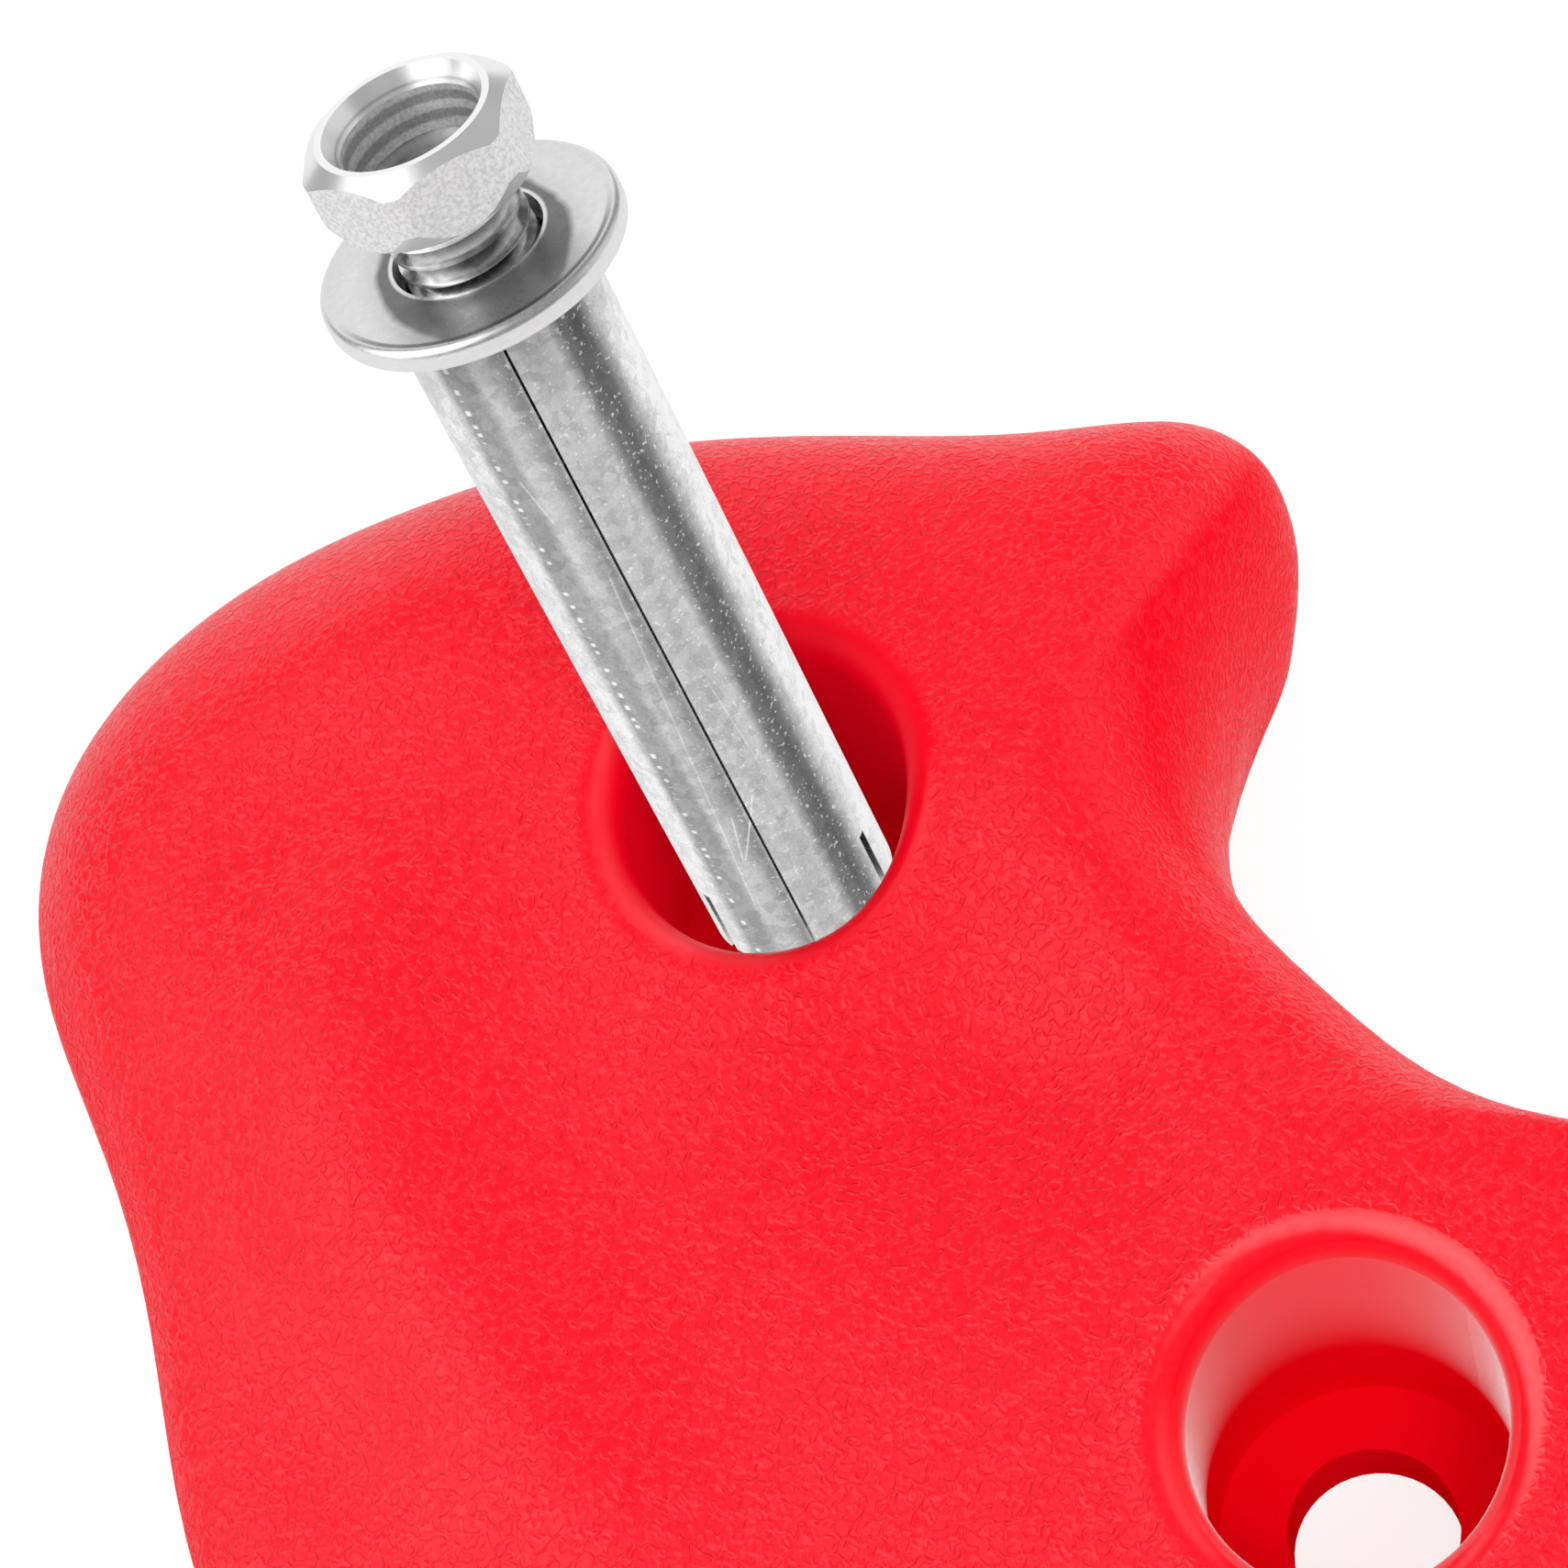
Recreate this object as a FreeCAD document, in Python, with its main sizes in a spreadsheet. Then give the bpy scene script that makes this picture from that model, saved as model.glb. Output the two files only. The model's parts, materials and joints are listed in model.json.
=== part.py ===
import FreeCAD, Part
import math
import os
import Sketcher

# A moulded climbing hold with two bolt wells, and the sleeve anchor that stands in the upper one.
# Millimetres and degrees. +Z points out of the wall, +Y runs up through both wells, and the origin
# lies on the back face, midway between the two bores.

SIZES = {
    # The moulded body
    "hold_width": 100,
    "hold_length": 135,
    "crown_height": 25.5,
    "belly_height": 9,
    "back_tuck": 2.6,
    "wall": 3.4,
    "rib_thickness": 2.6,
    "overrun": 4,
    # The two bolt wells
    "well_spacing": 53,
    "well_diameter": 18.2,
    "well_floor": 4,
    "upper_well_floor": 7,
    "bore_diameter": 10.2,
    "lip_radius": 2.4,
    # The stud
    "thread_diameter": 8,
    "thread_pitch": 1.25,
    "thread_length": 24,
    "cone_diameter": 11.4,
    "cone_length": 3.4,
    "cone_land": 1,
    "draw_travel": 2,
    "stud_end_depth": 3.5,
    "stud_end_chamfer": 0.8,
    # The sleeve
    "sleeve_diameter": 12,
    "sleeve_bore": 8.8,
    "sleeve_length": 52.1,
    "seam_width": 0.16,
    "seam_turn": -113,
    "slot_width": 0.6,
    "slot_length": 5,
    "slot_count": 3,
    # The washer
    "washer_diameter": 18,
    "washer_thickness": 1.6,
    "washer_bore": 9,
    "washer_round": 0.5,
    # The nut
    "nut_flats": 11.5,
    "nut_height": 4.7,
    "nut_gap": 4.3,
    "nut_turn": 22,
    "nut_foot_diameter": 11.6,
    "nut_waist_diameter": 12.8,
    "nut_rim_diameter": 10.2,
    "nut_lower_taper": 1.2,
    "nut_upper_taper": 0.9,
    "nut_countersink": 0.6,
    "nut_countersink_depth": 1.2,
    # Clearances and the way the anchor leans
    "thread_clearance": 0.08,
    "seat_gap": 0.3,
    "lean_direction": 83,
}

doc = FreeCAD.newDocument("climbing_hold")
sheet = doc.addObject("Spreadsheet::Sheet", "Sizes")
for row, (alias, value) in enumerate(SIZES.items(), 1):
    sheet.set("A%d" % row, alias)
    sheet.set("B%d" % row, str(value))
    sheet.setAlias("B%d" % row, alias)
doc.recompute()


def worth(formula):
    """The plain number that a formula of the sheet's names comes to."""
    found = sheet.evalExpression(formula.replace("Sizes.", ""))
    return float(getattr(found, "Value", found))


# Outline of the hold at its widest, as shares of its width and length, counter-clockwise
OUTLINE_SHARES = [
    (0.190, 0.015), (0.208, 0.072), (0.254, 0.114), (0.302, 0.144), (0.364, 0.171),
    (0.426, 0.203), (0.430, 0.235), (0.358, 0.280), (0.252, 0.346), (0.124, 0.438),
    (-0.026, 0.505), (-0.179, 0.538), (-0.330, 0.514), (-0.412, 0.440), (-0.447, 0.346),
    (-0.484, 0.262), (-0.536, 0.180), (-0.574, 0.090), (-0.560, -0.014), (-0.512, -0.150),
    (-0.402, -0.281), (-0.253, -0.393), (-0.059, -0.457), (0.142, -0.458), (0.280, -0.405),
    (0.338, -0.318), (0.268, -0.215), (0.198, -0.095),
]

# Where the rings of the skin shrink to, between the wells
CENTRE_SHARES = (-0.09, 0.06)

# Slope of the face: how far it rises for each millimetre towards +X and +Y
RISE_RIGHT_SHARE = 0.20
RISE_UP_SHARE = 0.08

# Knuckles and hollows: place along width and length, half length and half breadth as shares of the
# length, turn of the long axis in degrees, and rise as a share of the crown height
KNUCKLE_SHARES = [
    (0.01, 0.026, 0.085, 0.060, -30, -0.160),
    (0.11, 0.018, 0.085, 0.030, 71, 0.085),
    (-0.135, 0.400, 0.060, 0.028, -5, 0.080),
    (-0.21, 0.370, 0.050, 0.038, 20, -0.075),
    (-0.31, 0.237, 0.075, 0.042, 48, 0.105),
    (-0.445, 0.200, 0.060, 0.038, 60, -0.080),
    (-0.353, 0.075, 0.085, 0.032, 88, 0.090),
    (-0.425, 0.120, 0.045, 0.035, 60, -0.085),
    (-0.225, 0.130, 0.115, 0.055, 75, -0.045),
    (0.43, 0.185, 0.126, 0.096, 45, -0.314),
]

# Rings of the skin from the middle to the widest line, as shares of the reach, closer to the edge,
# then down the side wall to the back
RING_SHARES = [
    0.03, 0.09, 0.15, 0.21, 0.27, 0.33, 0.40, 0.47, 0.54, 0.61, 0.68, 0.74, 0.80, 0.85, 0.90,
    0.94, 0.97, 0.99, 1.0,
]
SIDE_SHARES = [0.25, 0.50, 0.75, 1.0]
EDGE_POWER = 6
COLUMNS = 72
SURFACE_DEGREE = 3

# How far the hollow's widest line drops below the skin's, as a share of the wall
HOLLOW_BELLY_SHARE = 0.5

# Thread groove, as shares of the pitch: its depth, how far it starts outside, half its mouth
THREAD_DEPTH_SHARE = 0.61
THREAD_OUTSIDE_SHARE = 0.11
THREAD_MOUTH_SHARE = 0.45

# How much of its play in the well the anchor leans over by
LEAN_SHARE = 0.95

width = worth("Sizes.hold_width")
length = worth("Sizes.hold_length")


def face_height(x, y, drop):
    """Height of the gripping face over the back at one place, less a drop."""
    crown = worth("Sizes.crown_height")
    rise = crown + RISE_RIGHT_SHARE * x + RISE_UP_SHARE * y
    for x_share, y_share, long_share, broad_share, turn, rise_share in KNUCKLE_SHARES:
        angle = math.radians(turn)
        dx = x - x_share * width
        dy = y - y_share * length
        along = (dx * math.cos(angle) + dy * math.sin(angle)) / (long_share * length)
        across = (dy * math.cos(angle) - dx * math.sin(angle)) / (broad_share * length)
        rise += rise_share * crown * math.exp(-(along ** 2 + across ** 2) / 2)
    return rise - drop


def outline_columns(inset):
    """Evenly spaced points round the outline, moved inwards by the inset."""
    points = [FreeCAD.Vector(x * width, y * length, 0) for x, y in OUTLINE_SHARES]
    curve = Part.BSplineCurve()
    curve.interpolate(Points=points, PeriodicFlag=True)
    columns = []
    for place in curve.discretize(Number=COLUMNS + 1)[:COLUMNS]:
        tangent = curve.tangent(curve.parameter(place))[0]
        inward = FreeCAD.Vector(-tangent.y, tangent.x, 0).normalize()
        columns.append(place + inward * inset)
    return columns


def ring_face(poles):
    """The flat face inside a closed smooth curve of poles."""
    curve = Part.BSplineCurve()
    curve.buildFromPoles(poles, True, SURFACE_DEGREE)
    return Part.Face(Part.Wire(curve.toShape()))


def skin_rings(inset, drop, belly, base):
    """Rings of poles from the middle of the face, over its edge and down the side to the base."""
    centre = FreeCAD.Vector(CENTRE_SHARES[0] * width, CENTRE_SHARES[1] * length, 0)
    columns = outline_columns(inset)
    step = worth("Sizes.rib_thickness")
    middle = face_height(centre.x, centre.y, drop)
    slope_x = (face_height(centre.x + step, centre.y, drop) - middle) / step
    slope_y = (face_height(centre.x, centre.y + step, drop) - middle) / step
    rings = []
    for share in RING_SHARES:
        ring = []
        for column in columns:
            place = centre + (column - centre) * share
            top = face_height(place.x, place.y, drop)
            if share == RING_SHARES[0]:
                top = middle + slope_x * (place.x - centre.x) + slope_y * (place.y - centre.y)
            else:
                top = belly + (top - belly) * math.sqrt(1 - share ** EDGE_POWER)
            ring.append(FreeCAD.Vector(place.x, place.y, top))
        rings.append(ring)
    for share in SIDE_SHARES:
        ring = []
        for column in columns:
            outward = (column - centre).normalize()
            tucked = column - outward * (worth("Sizes.back_tuck") * share ** 2)
            ring.append(FreeCAD.Vector(tucked.x, tucked.y, belly + (base - belly) * share))
        rings.append(ring)
    return rings


def skin_solid(rings):
    """The closed solid that smooth rings of poles wrap, with a flat cap at each end."""
    rows = len(rings)
    ends = SURFACE_DEGREE + 1
    surface = Part.BSplineSurface()
    surface.buildFromPolesMultsKnots(
        [[ring[column] for ring in rings] for column in range(COLUMNS)],
        [1] * (COLUMNS + 1), [ends] + [1] * (rows - ends) + [ends],
        list(range(COLUMNS + 1)), list(range(rows - ends + 2)),
        True, False, SURFACE_DEGREE, SURFACE_DEGREE)
    shell = Part.makeShell([surface.toShape(), ring_face(rings[0]), ring_face(rings[-1])])
    shell.sewShape()
    solid = Part.makeSolid(shell)
    if solid.Volume < 0:
        solid.reverse()
    return solid


def cylinder(name, radius, height, y, z):
    """An upright round helper solid on the line through the wells."""
    solid = doc.addObject("Part::Cylinder", name)
    solid.setExpression("Radius", radius)
    solid.setExpression("Height", height)
    solid.setExpression("Placement.Base.y", y)
    solid.setExpression("Placement.Base.z", z)
    return solid


def plate(name, size_x, size_y, x, y):
    """An upright rib plate from under the back to over the face."""
    solid = doc.addObject("Part::Box", name)
    solid.setExpression("Length", size_x)
    solid.setExpression("Width", size_y)
    solid.setExpression("Height", "Sizes.crown_height * 2 + Sizes.overrun")
    solid.setExpression("Placement.Base.x", x)
    solid.setExpression("Placement.Base.y", y)
    solid.setExpression("Placement.Base.z", "-Sizes.overrun")
    return solid


def cut(name, base, tool):
    """One shape with another taken out of it."""
    result = doc.addObject("Part::Cut", name)
    result.Base = base
    result.Tool = tool
    return result


def fused(name, shapes):
    """Several shapes as one."""
    result = doc.addObject("Part::MultiFuse", name)
    result.Shapes = shapes
    return result


# The hold: a moulded skin over an open back, stiffened by two well tubes and by ribs
wall = worth("Sizes.wall")
belly_height = worth("Sizes.belly_height")
skin = doc.addObject("Part::Feature", "skin")
skin.Shape = skin_solid(skin_rings(0, 0, belly_height, 0))
hollow = doc.addObject("Part::Feature", "hollow")
hollow.Shape = skin_solid(
    skin_rings(wall, wall, belly_height - HOLLOW_BELLY_SHARE * wall, -worth("Sizes.overrun")))

WELL_PLACES = {"upper": "Sizes.well_spacing / 2", "lower": "-Sizes.well_spacing / 2"}
WELL_FLOORS = {"upper": "Sizes.upper_well_floor", "lower": "Sizes.well_floor"}
RIB_PLACES = {"upper": WELL_PLACES["upper"], "middle": "0", "lower": WELL_PLACES["lower"]}

tubes = []
wells = []
bores = []
for side, place in WELL_PLACES.items():
    tubes.append(cylinder(side + "_tube", "Sizes.well_diameter / 2 + Sizes.wall",
                          "Sizes.crown_height * 2 + Sizes.overrun", place, "-Sizes.overrun"))
    wells.append(cylinder(side + "_well", "Sizes.well_diameter / 2",
                          "Sizes.crown_height * 2", place, WELL_FLOORS[side]))
    bores.append(cylinder(side + "_bore", "Sizes.bore_diameter / 2",
                          WELL_FLOORS[side] + " + Sizes.overrun * 2", place, "-Sizes.overrun"))

ribs = [plate("spine", "Sizes.rib_thickness", "Sizes.hold_length * 2",
              "-Sizes.rib_thickness / 2", "-Sizes.hold_length")]
for side, place in RIB_PLACES.items():
    ribs.append(plate(side + "_rib", "Sizes.hold_width * 2", "Sizes.rib_thickness",
                      "-Sizes.hold_width", place + " - Sizes.rib_thickness / 2"))

pockets = cut("pockets", hollow, fused("stiffening", tubes + ribs))
open_backed = cut("open_backed", skin, pockets)
drilled = cut("drilled", open_backed, fused("holes", wells + bores))
doc.recompute()


def lip_edges(shape):
    """The numbers of the edges where the walls of the wells break through the smooth skin."""
    well_radius = worth("Sizes.well_diameter / 2")
    numbers = []
    for number, edge in enumerate(shape.Edges, 1):
        surfaces = [face.Surface for face in shape.ancestorsOfType(edge, Part.Face)]
        walls = [s for s in surfaces if isinstance(s, Part.Cylinder) and s.Radius == well_radius]
        smooth = [s for s in surfaces if isinstance(s, Part.BSplineSurface)]
        if walls and smooth:
            numbers.append(number)
    return numbers


lip_radius = worth("Sizes.lip_radius")
hold_body = doc.addObject("Part::Fillet", "hold_body")
hold_body.Base = drilled
hold_body.Edges = [(number, lip_radius, lip_radius) for number in lip_edges(drilled.Shape)]
doc.recompute()


def plane_of(body, role):
    """One of a body's own origin planes, by its role."""
    return next(f for f in body.Origin.OriginFeatures if f.Role == role)


def new_body(name):
    """An empty body with its label."""
    body = doc.addObject("PartDesign::Body", name)
    body.Label = name
    return body


def sketch_on(body, name, role):
    """A sketch on one of the body's own origin planes."""
    sketch = body.newObject("Sketcher::SketchObject", name)
    sketch.AttachmentSupport = [(plane_of(body, role), "")]
    sketch.MapMode = "FlatFace"
    return sketch


def bind(sketch, kind, name, formula, *places):
    """A sketch constraint whose value follows the sheet."""
    number = sketch.addConstraint(Sketcher.Constraint(kind, *places, worth(formula)))
    sketch.renameConstraint(number, name)
    sketch.setExpression("Constraints." + name, formula)


def circle(sketch, name, radius):
    """A circle about the sketch's origin with its radius tied to the sheet."""
    centre = FreeCAD.Vector(0, 0, 0)
    upright = FreeCAD.Vector(0, 0, 1)
    number = sketch.addGeometry(Part.Circle(centre, upright, worth(radius)))
    sketch.addConstraint(Sketcher.Constraint("Coincident", number, 3, -1, 1))
    bind(sketch, "Radius", name, radius, number)


def outline(sketch, corners):
    """A closed outline of straight lines, each corner's place tied to the sheet."""
    values = [FreeCAD.Vector(worth(across), worth(up), 0) for across, up in corners]
    count = len(corners)
    for n in range(count):
        sketch.addGeometry(Part.LineSegment(values[n], values[(n + 1) % count]))
    for n in range(count):
        sketch.addConstraint(Sketcher.Constraint("Coincident", n, 2, (n + 1) % count, 1))
    for n, (across, up) in enumerate(corners):
        if across == "0":
            sketch.addConstraint(Sketcher.Constraint("PointOnObject", n, 1, -2))
        else:
            bind(sketch, "DistanceX", "across%d" % n, across, -1, 1, n, 1)
        if up == "0":
            sketch.addConstraint(Sketcher.Constraint("PointOnObject", n, 1, -1))
        else:
            bind(sketch, "DistanceY", "up%d" % n, up, -1, 1, n, 1)


def padded(body, sketch, name, depth):
    """A pad of a sketch, its length tied to the sheet."""
    pad = body.newObject("PartDesign::Pad", name)
    pad.Profile = sketch
    pad.setExpression("Length", depth)
    return pad


def pocket_up(body, sketch, name, depth):
    """A pocket that runs up from the sketch's plane."""
    pocket = body.newObject("PartDesign::Pocket", name)
    pocket.Profile = sketch
    pocket.Reversed = True
    pocket.setExpression("Length", depth)
    return pocket


def turned(body, kind, sketch, name):
    """A full turn of a sketch about the body's upright axis, added or cut away."""
    feature = body.newObject(kind, name)
    feature.Profile = sketch
    feature.ReferenceAxis = (sketch, ["V_Axis"])
    feature.Angle = 360
    return feature


# Places along the anchor, from its foot
CONE_TOP = "(Sizes.cone_land + Sizes.cone_length)"
SLEEVE_FOOT = "(" + CONE_TOP + " + Sizes.draw_travel)"
WASHER_SEAT = "(" + SLEEVE_FOOT + " + Sizes.sleeve_length)"
NUT_SEAT = "(" + WASHER_SEAT + " + Sizes.washer_thickness + Sizes.nut_gap)"
STUD_TOP = "(" + NUT_SEAT + " + Sizes.nut_height - Sizes.stud_end_depth)"
THREAD_FOOT = "(" + STUD_TOP + " - Sizes.thread_length)"

# The stud: a rod with a cone at its foot that spreads the sleeve, and a cut thread at its top
stud = new_body("anchor_stud")
stud_outline = sketch_on(stud, "stud_outline", "XZ_Plane")
outline(stud_outline, [
    ("0", "0"),
    ("Sizes.cone_diameter / 2", "0"),
    ("Sizes.cone_diameter / 2", "Sizes.cone_land"),
    ("Sizes.thread_diameter / 2", CONE_TOP),
    ("Sizes.thread_diameter / 2", STUD_TOP + " - Sizes.stud_end_chamfer"),
    ("Sizes.thread_diameter / 2 - Sizes.stud_end_chamfer", STUD_TOP),
    ("0", STUD_TOP),
])
turned(stud, "PartDesign::Revolution", stud_outline, "stud_rod")
doc.recompute()

thread_outline = sketch_on(stud, "thread_outline", "XZ_Plane")
thread_root = "Sizes.thread_diameter / 2 - %s * Sizes.thread_pitch" % THREAD_DEPTH_SHARE
thread_mouth = "Sizes.thread_diameter / 2 + %s * Sizes.thread_pitch" % THREAD_OUTSIDE_SHARE
thread_reach = "%s * Sizes.thread_pitch" % THREAD_MOUTH_SHARE
outline(thread_outline, [
    (thread_root, THREAD_FOOT),
    (thread_mouth, THREAD_FOOT + " - " + thread_reach),
    (thread_mouth, THREAD_FOOT + " + " + thread_reach),
])
thread = stud.newObject("PartDesign::SubtractiveHelix", "thread")
thread.Profile = thread_outline
thread.ReferenceAxis = (thread_outline, ["V_Axis"])
thread.Mode = "pitch-height-angle"
thread.setExpression("Pitch", "Sizes.thread_pitch")
thread.setExpression("Height", "Sizes.thread_length + Sizes.thread_pitch")
thread.Angle = 0

# The sleeve: a rolled tube with an open seam along it, and slots that let its foot spread
sleeve = new_body("anchor_sleeve")
sleeve_ring = sketch_on(sleeve, "sleeve_ring", "XY_Plane")
circle(sleeve_ring, "outer", "Sizes.sleeve_diameter / 2")
circle(sleeve_ring, "inner", "Sizes.sleeve_bore / 2")
padded(sleeve, sleeve_ring, "sleeve_tube", "Sizes.sleeve_length")

seam_outline = sketch_on(sleeve, "seam_outline", "XY_Plane")
outline(seam_outline, [
    ("0", "-Sizes.seam_width / 2"),
    ("Sizes.sleeve_diameter", "-Sizes.seam_width / 2"),
    ("Sizes.sleeve_diameter", "Sizes.seam_width / 2"),
    ("0", "Sizes.seam_width / 2"),
])
pocket_up(sleeve, seam_outline, "seam", "Sizes.sleeve_length")

slot_outline = sketch_on(sleeve, "slot_outline", "XY_Plane")
outline(slot_outline, [
    ("0", "-Sizes.slot_width / 2"),
    ("-Sizes.sleeve_diameter", "-Sizes.slot_width / 2"),
    ("-Sizes.sleeve_diameter", "Sizes.slot_width / 2"),
    ("0", "Sizes.slot_width / 2"),
])
slot = pocket_up(sleeve, slot_outline, "slot", "Sizes.slot_length")
doc.recompute()
slots = sleeve.newObject("PartDesign::PolarPattern", "slots")
slots.Originals = [slot]
slots.Axis = (slot_outline, ["N_Axis"])
slots.Angle = 360
slots.setExpression("Occurrences", "Sizes.slot_count")
sleeve.Tip = slots


def round_edges(shape, radius):
    """The names of a shape's circular edges of one radius."""
    names = []
    for number, edge in enumerate(shape.Edges, 1):
        if isinstance(edge.Curve, Part.Circle) and edge.Curve.Radius == radius:
            names.append("Edge%d" % number)
    return names


# The washer: a pressed disc whose rim is rounded on both faces
washer = new_body("flat_washer")
washer_ring = sketch_on(washer, "washer_ring", "XY_Plane")
circle(washer_ring, "outer", "Sizes.washer_diameter / 2")
circle(washer_ring, "inner", "Sizes.washer_bore / 2")
washer_disc = padded(washer, washer_ring, "washer_disc", "Sizes.washer_thickness")
doc.recompute()
washer_rim = washer.newObject("PartDesign::Fillet", "washer_rim")
washer_rim.Base = (washer_disc, round_edges(washer_disc.Shape, worth("Sizes.washer_diameter / 2")))
washer_rim.setExpression("Radius", "Sizes.washer_round")

# The nut: a hexagon whose corners are turned off from both ends, with a countersunk bore
nut = new_body("hex_nut")
hexagon = sketch_on(nut, "hexagon", "XY_Plane")
NUT_CORNER = "Sizes.nut_flats / 2 / cos(30)"
outline(hexagon, [
    ("Sizes.nut_flats / 2", NUT_CORNER + " / 2"),
    ("0", NUT_CORNER),
    ("-Sizes.nut_flats / 2", NUT_CORNER + " / 2"),
    ("-Sizes.nut_flats / 2", "-" + NUT_CORNER + " / 2"),
    ("0", "-" + NUT_CORNER),
    ("Sizes.nut_flats / 2", "-" + NUT_CORNER + " / 2"),
])
padded(nut, hexagon, "nut_blank", "Sizes.nut_height")

corner_outline = sketch_on(nut, "corner_outline", "XZ_Plane")
outline(corner_outline, [
    ("Sizes.nut_foot_diameter / 2", "0"),
    ("Sizes.nut_flats", "0"),
    ("Sizes.nut_flats", "Sizes.nut_height"),
    ("Sizes.nut_rim_diameter / 2", "Sizes.nut_height"),
    ("Sizes.nut_waist_diameter / 2", "Sizes.nut_height - Sizes.nut_upper_taper"),
    ("Sizes.nut_waist_diameter / 2", "Sizes.nut_lower_taper"),
])
turned(nut, "PartDesign::Groove", corner_outline, "turned_corners")

NUT_BORE = "(Sizes.thread_diameter / 2 + Sizes.thread_clearance)"
bore_outline = sketch_on(nut, "bore_outline", "XZ_Plane")
outline(bore_outline, [
    ("0", "0"),
    (NUT_BORE + " + Sizes.stud_end_chamfer / 2", "0"),
    (NUT_BORE, "Sizes.stud_end_chamfer / 2"),
    (NUT_BORE, "Sizes.nut_height - Sizes.nut_countersink_depth"),
    (NUT_BORE + " + Sizes.nut_countersink", "Sizes.nut_height"),
    ("0", "Sizes.nut_height"),
])
turned(nut, "PartDesign::Groove", bore_outline, "countersunk_bore")
doc.recompute()


def anchor_stance():
    """Where the anchor's foot stands in the upper well, and how far it leans against the lip."""
    gap = worth("Sizes.seat_gap")
    floor = worth(WELL_FLOORS["upper"])
    well_radius = worth("Sizes.well_diameter / 2")
    sleeve_radius = worth("Sizes.sleeve_diameter / 2")
    cone_radius = worth("Sizes.cone_diameter / 2")
    direction = math.radians(worth("Sizes.lean_direction"))
    toward = FreeCAD.Vector(math.cos(direction), math.sin(direction), 0)
    sideways = FreeCAD.Vector(-math.sin(direction), math.cos(direction), 0)
    centre = FreeCAD.Vector(0, worth(WELL_PLACES["upper"]), 0)
    lip = centre + toward * well_radius
    lip_height = face_height(lip.x, lip.y, lip_radius)
    play = 2 * (well_radius - gap) - sleeve_radius - cone_radius
    lean = LEAN_SHARE * math.atan(play / (lip_height - floor))
    foot_height = floor + gap + cone_radius * math.sin(lean)
    at_lip = well_radius - gap - sleeve_radius / math.cos(lean)
    offset = at_lip - (lip_height - foot_height) * math.tan(lean)
    foot = centre + toward * offset + FreeCAD.Vector(0, 0, foot_height)
    return FreeCAD.Placement(foot, FreeCAD.Rotation(sideways, math.degrees(lean)))


def stand(body, seat, turn):
    """Puts a piece of the anchor at its seat along the leaning axis, turned about that axis."""
    along = FreeCAD.Vector(0, 0, worth(seat))
    upright = FreeCAD.Vector(0, 0, 1)
    body.Placement = stance * FreeCAD.Placement(along, FreeCAD.Rotation(upright, worth(turn)))


stance = anchor_stance()
stand(stud, "0", "0")
stand(sleeve, SLEEVE_FOOT, "Sizes.seam_turn")
stand(washer, WASHER_SEAT, "0")
stand(nut, NUT_SEAT, "Sizes.nut_turn")
doc.recompute()

# Every feature has to be sound, and every piece one valid solid, before anything is written
for feature in doc.Objects:
    if "Invalid" in feature.State or "Error" in feature.State:
        raise RuntimeError("%s failed: %s" % (feature.Label, feature.State))

pieces = [hold_body, stud, sleeve, washer, nut]
for piece in pieces:
    shape = piece.Shape
    if shape.isNull() or not shape.isValid() or len(shape.Solids) != 1:
        raise RuntimeError("%s is not one valid solid" % piece.Label)

os.makedirs("parts", exist_ok=True)
for piece in pieces:
    piece.Shape.exportStep("parts/%s.step" % piece.Label)
    box = piece.Shape.BoundBox
    print("%-14s %9.1f mm3  %s  %s" % (
        piece.Label, piece.Shape.Volume,
        tuple(round(v, 2) for v in (box.XMin, box.YMin, box.ZMin)),
        tuple(round(v, 2) for v in (box.XMax, box.YMax, box.ZMax))))
print("anchor foot", stance.Base, "axis", stance.Rotation.multVec(FreeCAD.Vector(0, 0, 1)))
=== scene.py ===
# %% [markdown]
# # A climbing hold with its sleeve anchor
# The object is a bolt-on climbing hold, one moulding of red plastic, with a
# steel sleeve anchor leaning in its upper bolt well. The shapes come from the
# CAD model. This file gives them their finishes, the floor, the light and the
# camera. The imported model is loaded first, because every piece stays where
# the CAD puts it.

# %% Load the CAD model
import bpy
import json
import math
from mathutils import Matrix, Vector

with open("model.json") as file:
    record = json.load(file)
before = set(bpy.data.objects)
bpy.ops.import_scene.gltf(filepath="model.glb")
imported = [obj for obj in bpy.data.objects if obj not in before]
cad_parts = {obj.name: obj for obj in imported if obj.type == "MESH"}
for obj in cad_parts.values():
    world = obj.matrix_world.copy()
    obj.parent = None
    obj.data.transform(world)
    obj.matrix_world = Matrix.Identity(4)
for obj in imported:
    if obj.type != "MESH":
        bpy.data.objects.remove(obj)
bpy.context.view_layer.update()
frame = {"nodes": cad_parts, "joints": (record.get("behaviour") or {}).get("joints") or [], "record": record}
for name, piece in frame["nodes"].items():
    print("node", name, len(piece.data.polygons), "faces")

# %% [markdown]
# ## The anchor's own frame
# The anchor leans, so its finishes have to lean with it. Its foot and the
# direction of its axis are read from the joint that the nut turns on, and the
# reach of a piece from its mesh, so a change in the CAD model moves the
# finishes too.

# %% Find the anchor's foot and axis
joints = {joint["name"]: joint for joint in frame["joints"]}
ANCHOR_FOOT = Vector(joints["nut_spin"]["pos_m"])
ANCHOR_AXIS = -Vector(joints["nut_spin"]["axis"]).normalized()


def reach_of(node):
    """How far a node reaches along the anchor's axis, and away from it."""
    piece = frame["nodes"][node]
    places = [piece.matrix_world @ vertex.co - ANCHOR_FOOT for vertex in piece.data.vertices]
    heights = [place.dot(ANCHOR_AXIS) for place in places]
    radii = [(place - height * ANCHOR_AXIS).length for place, height in zip(places, heights)]
    return max(heights), max(radii)


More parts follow.
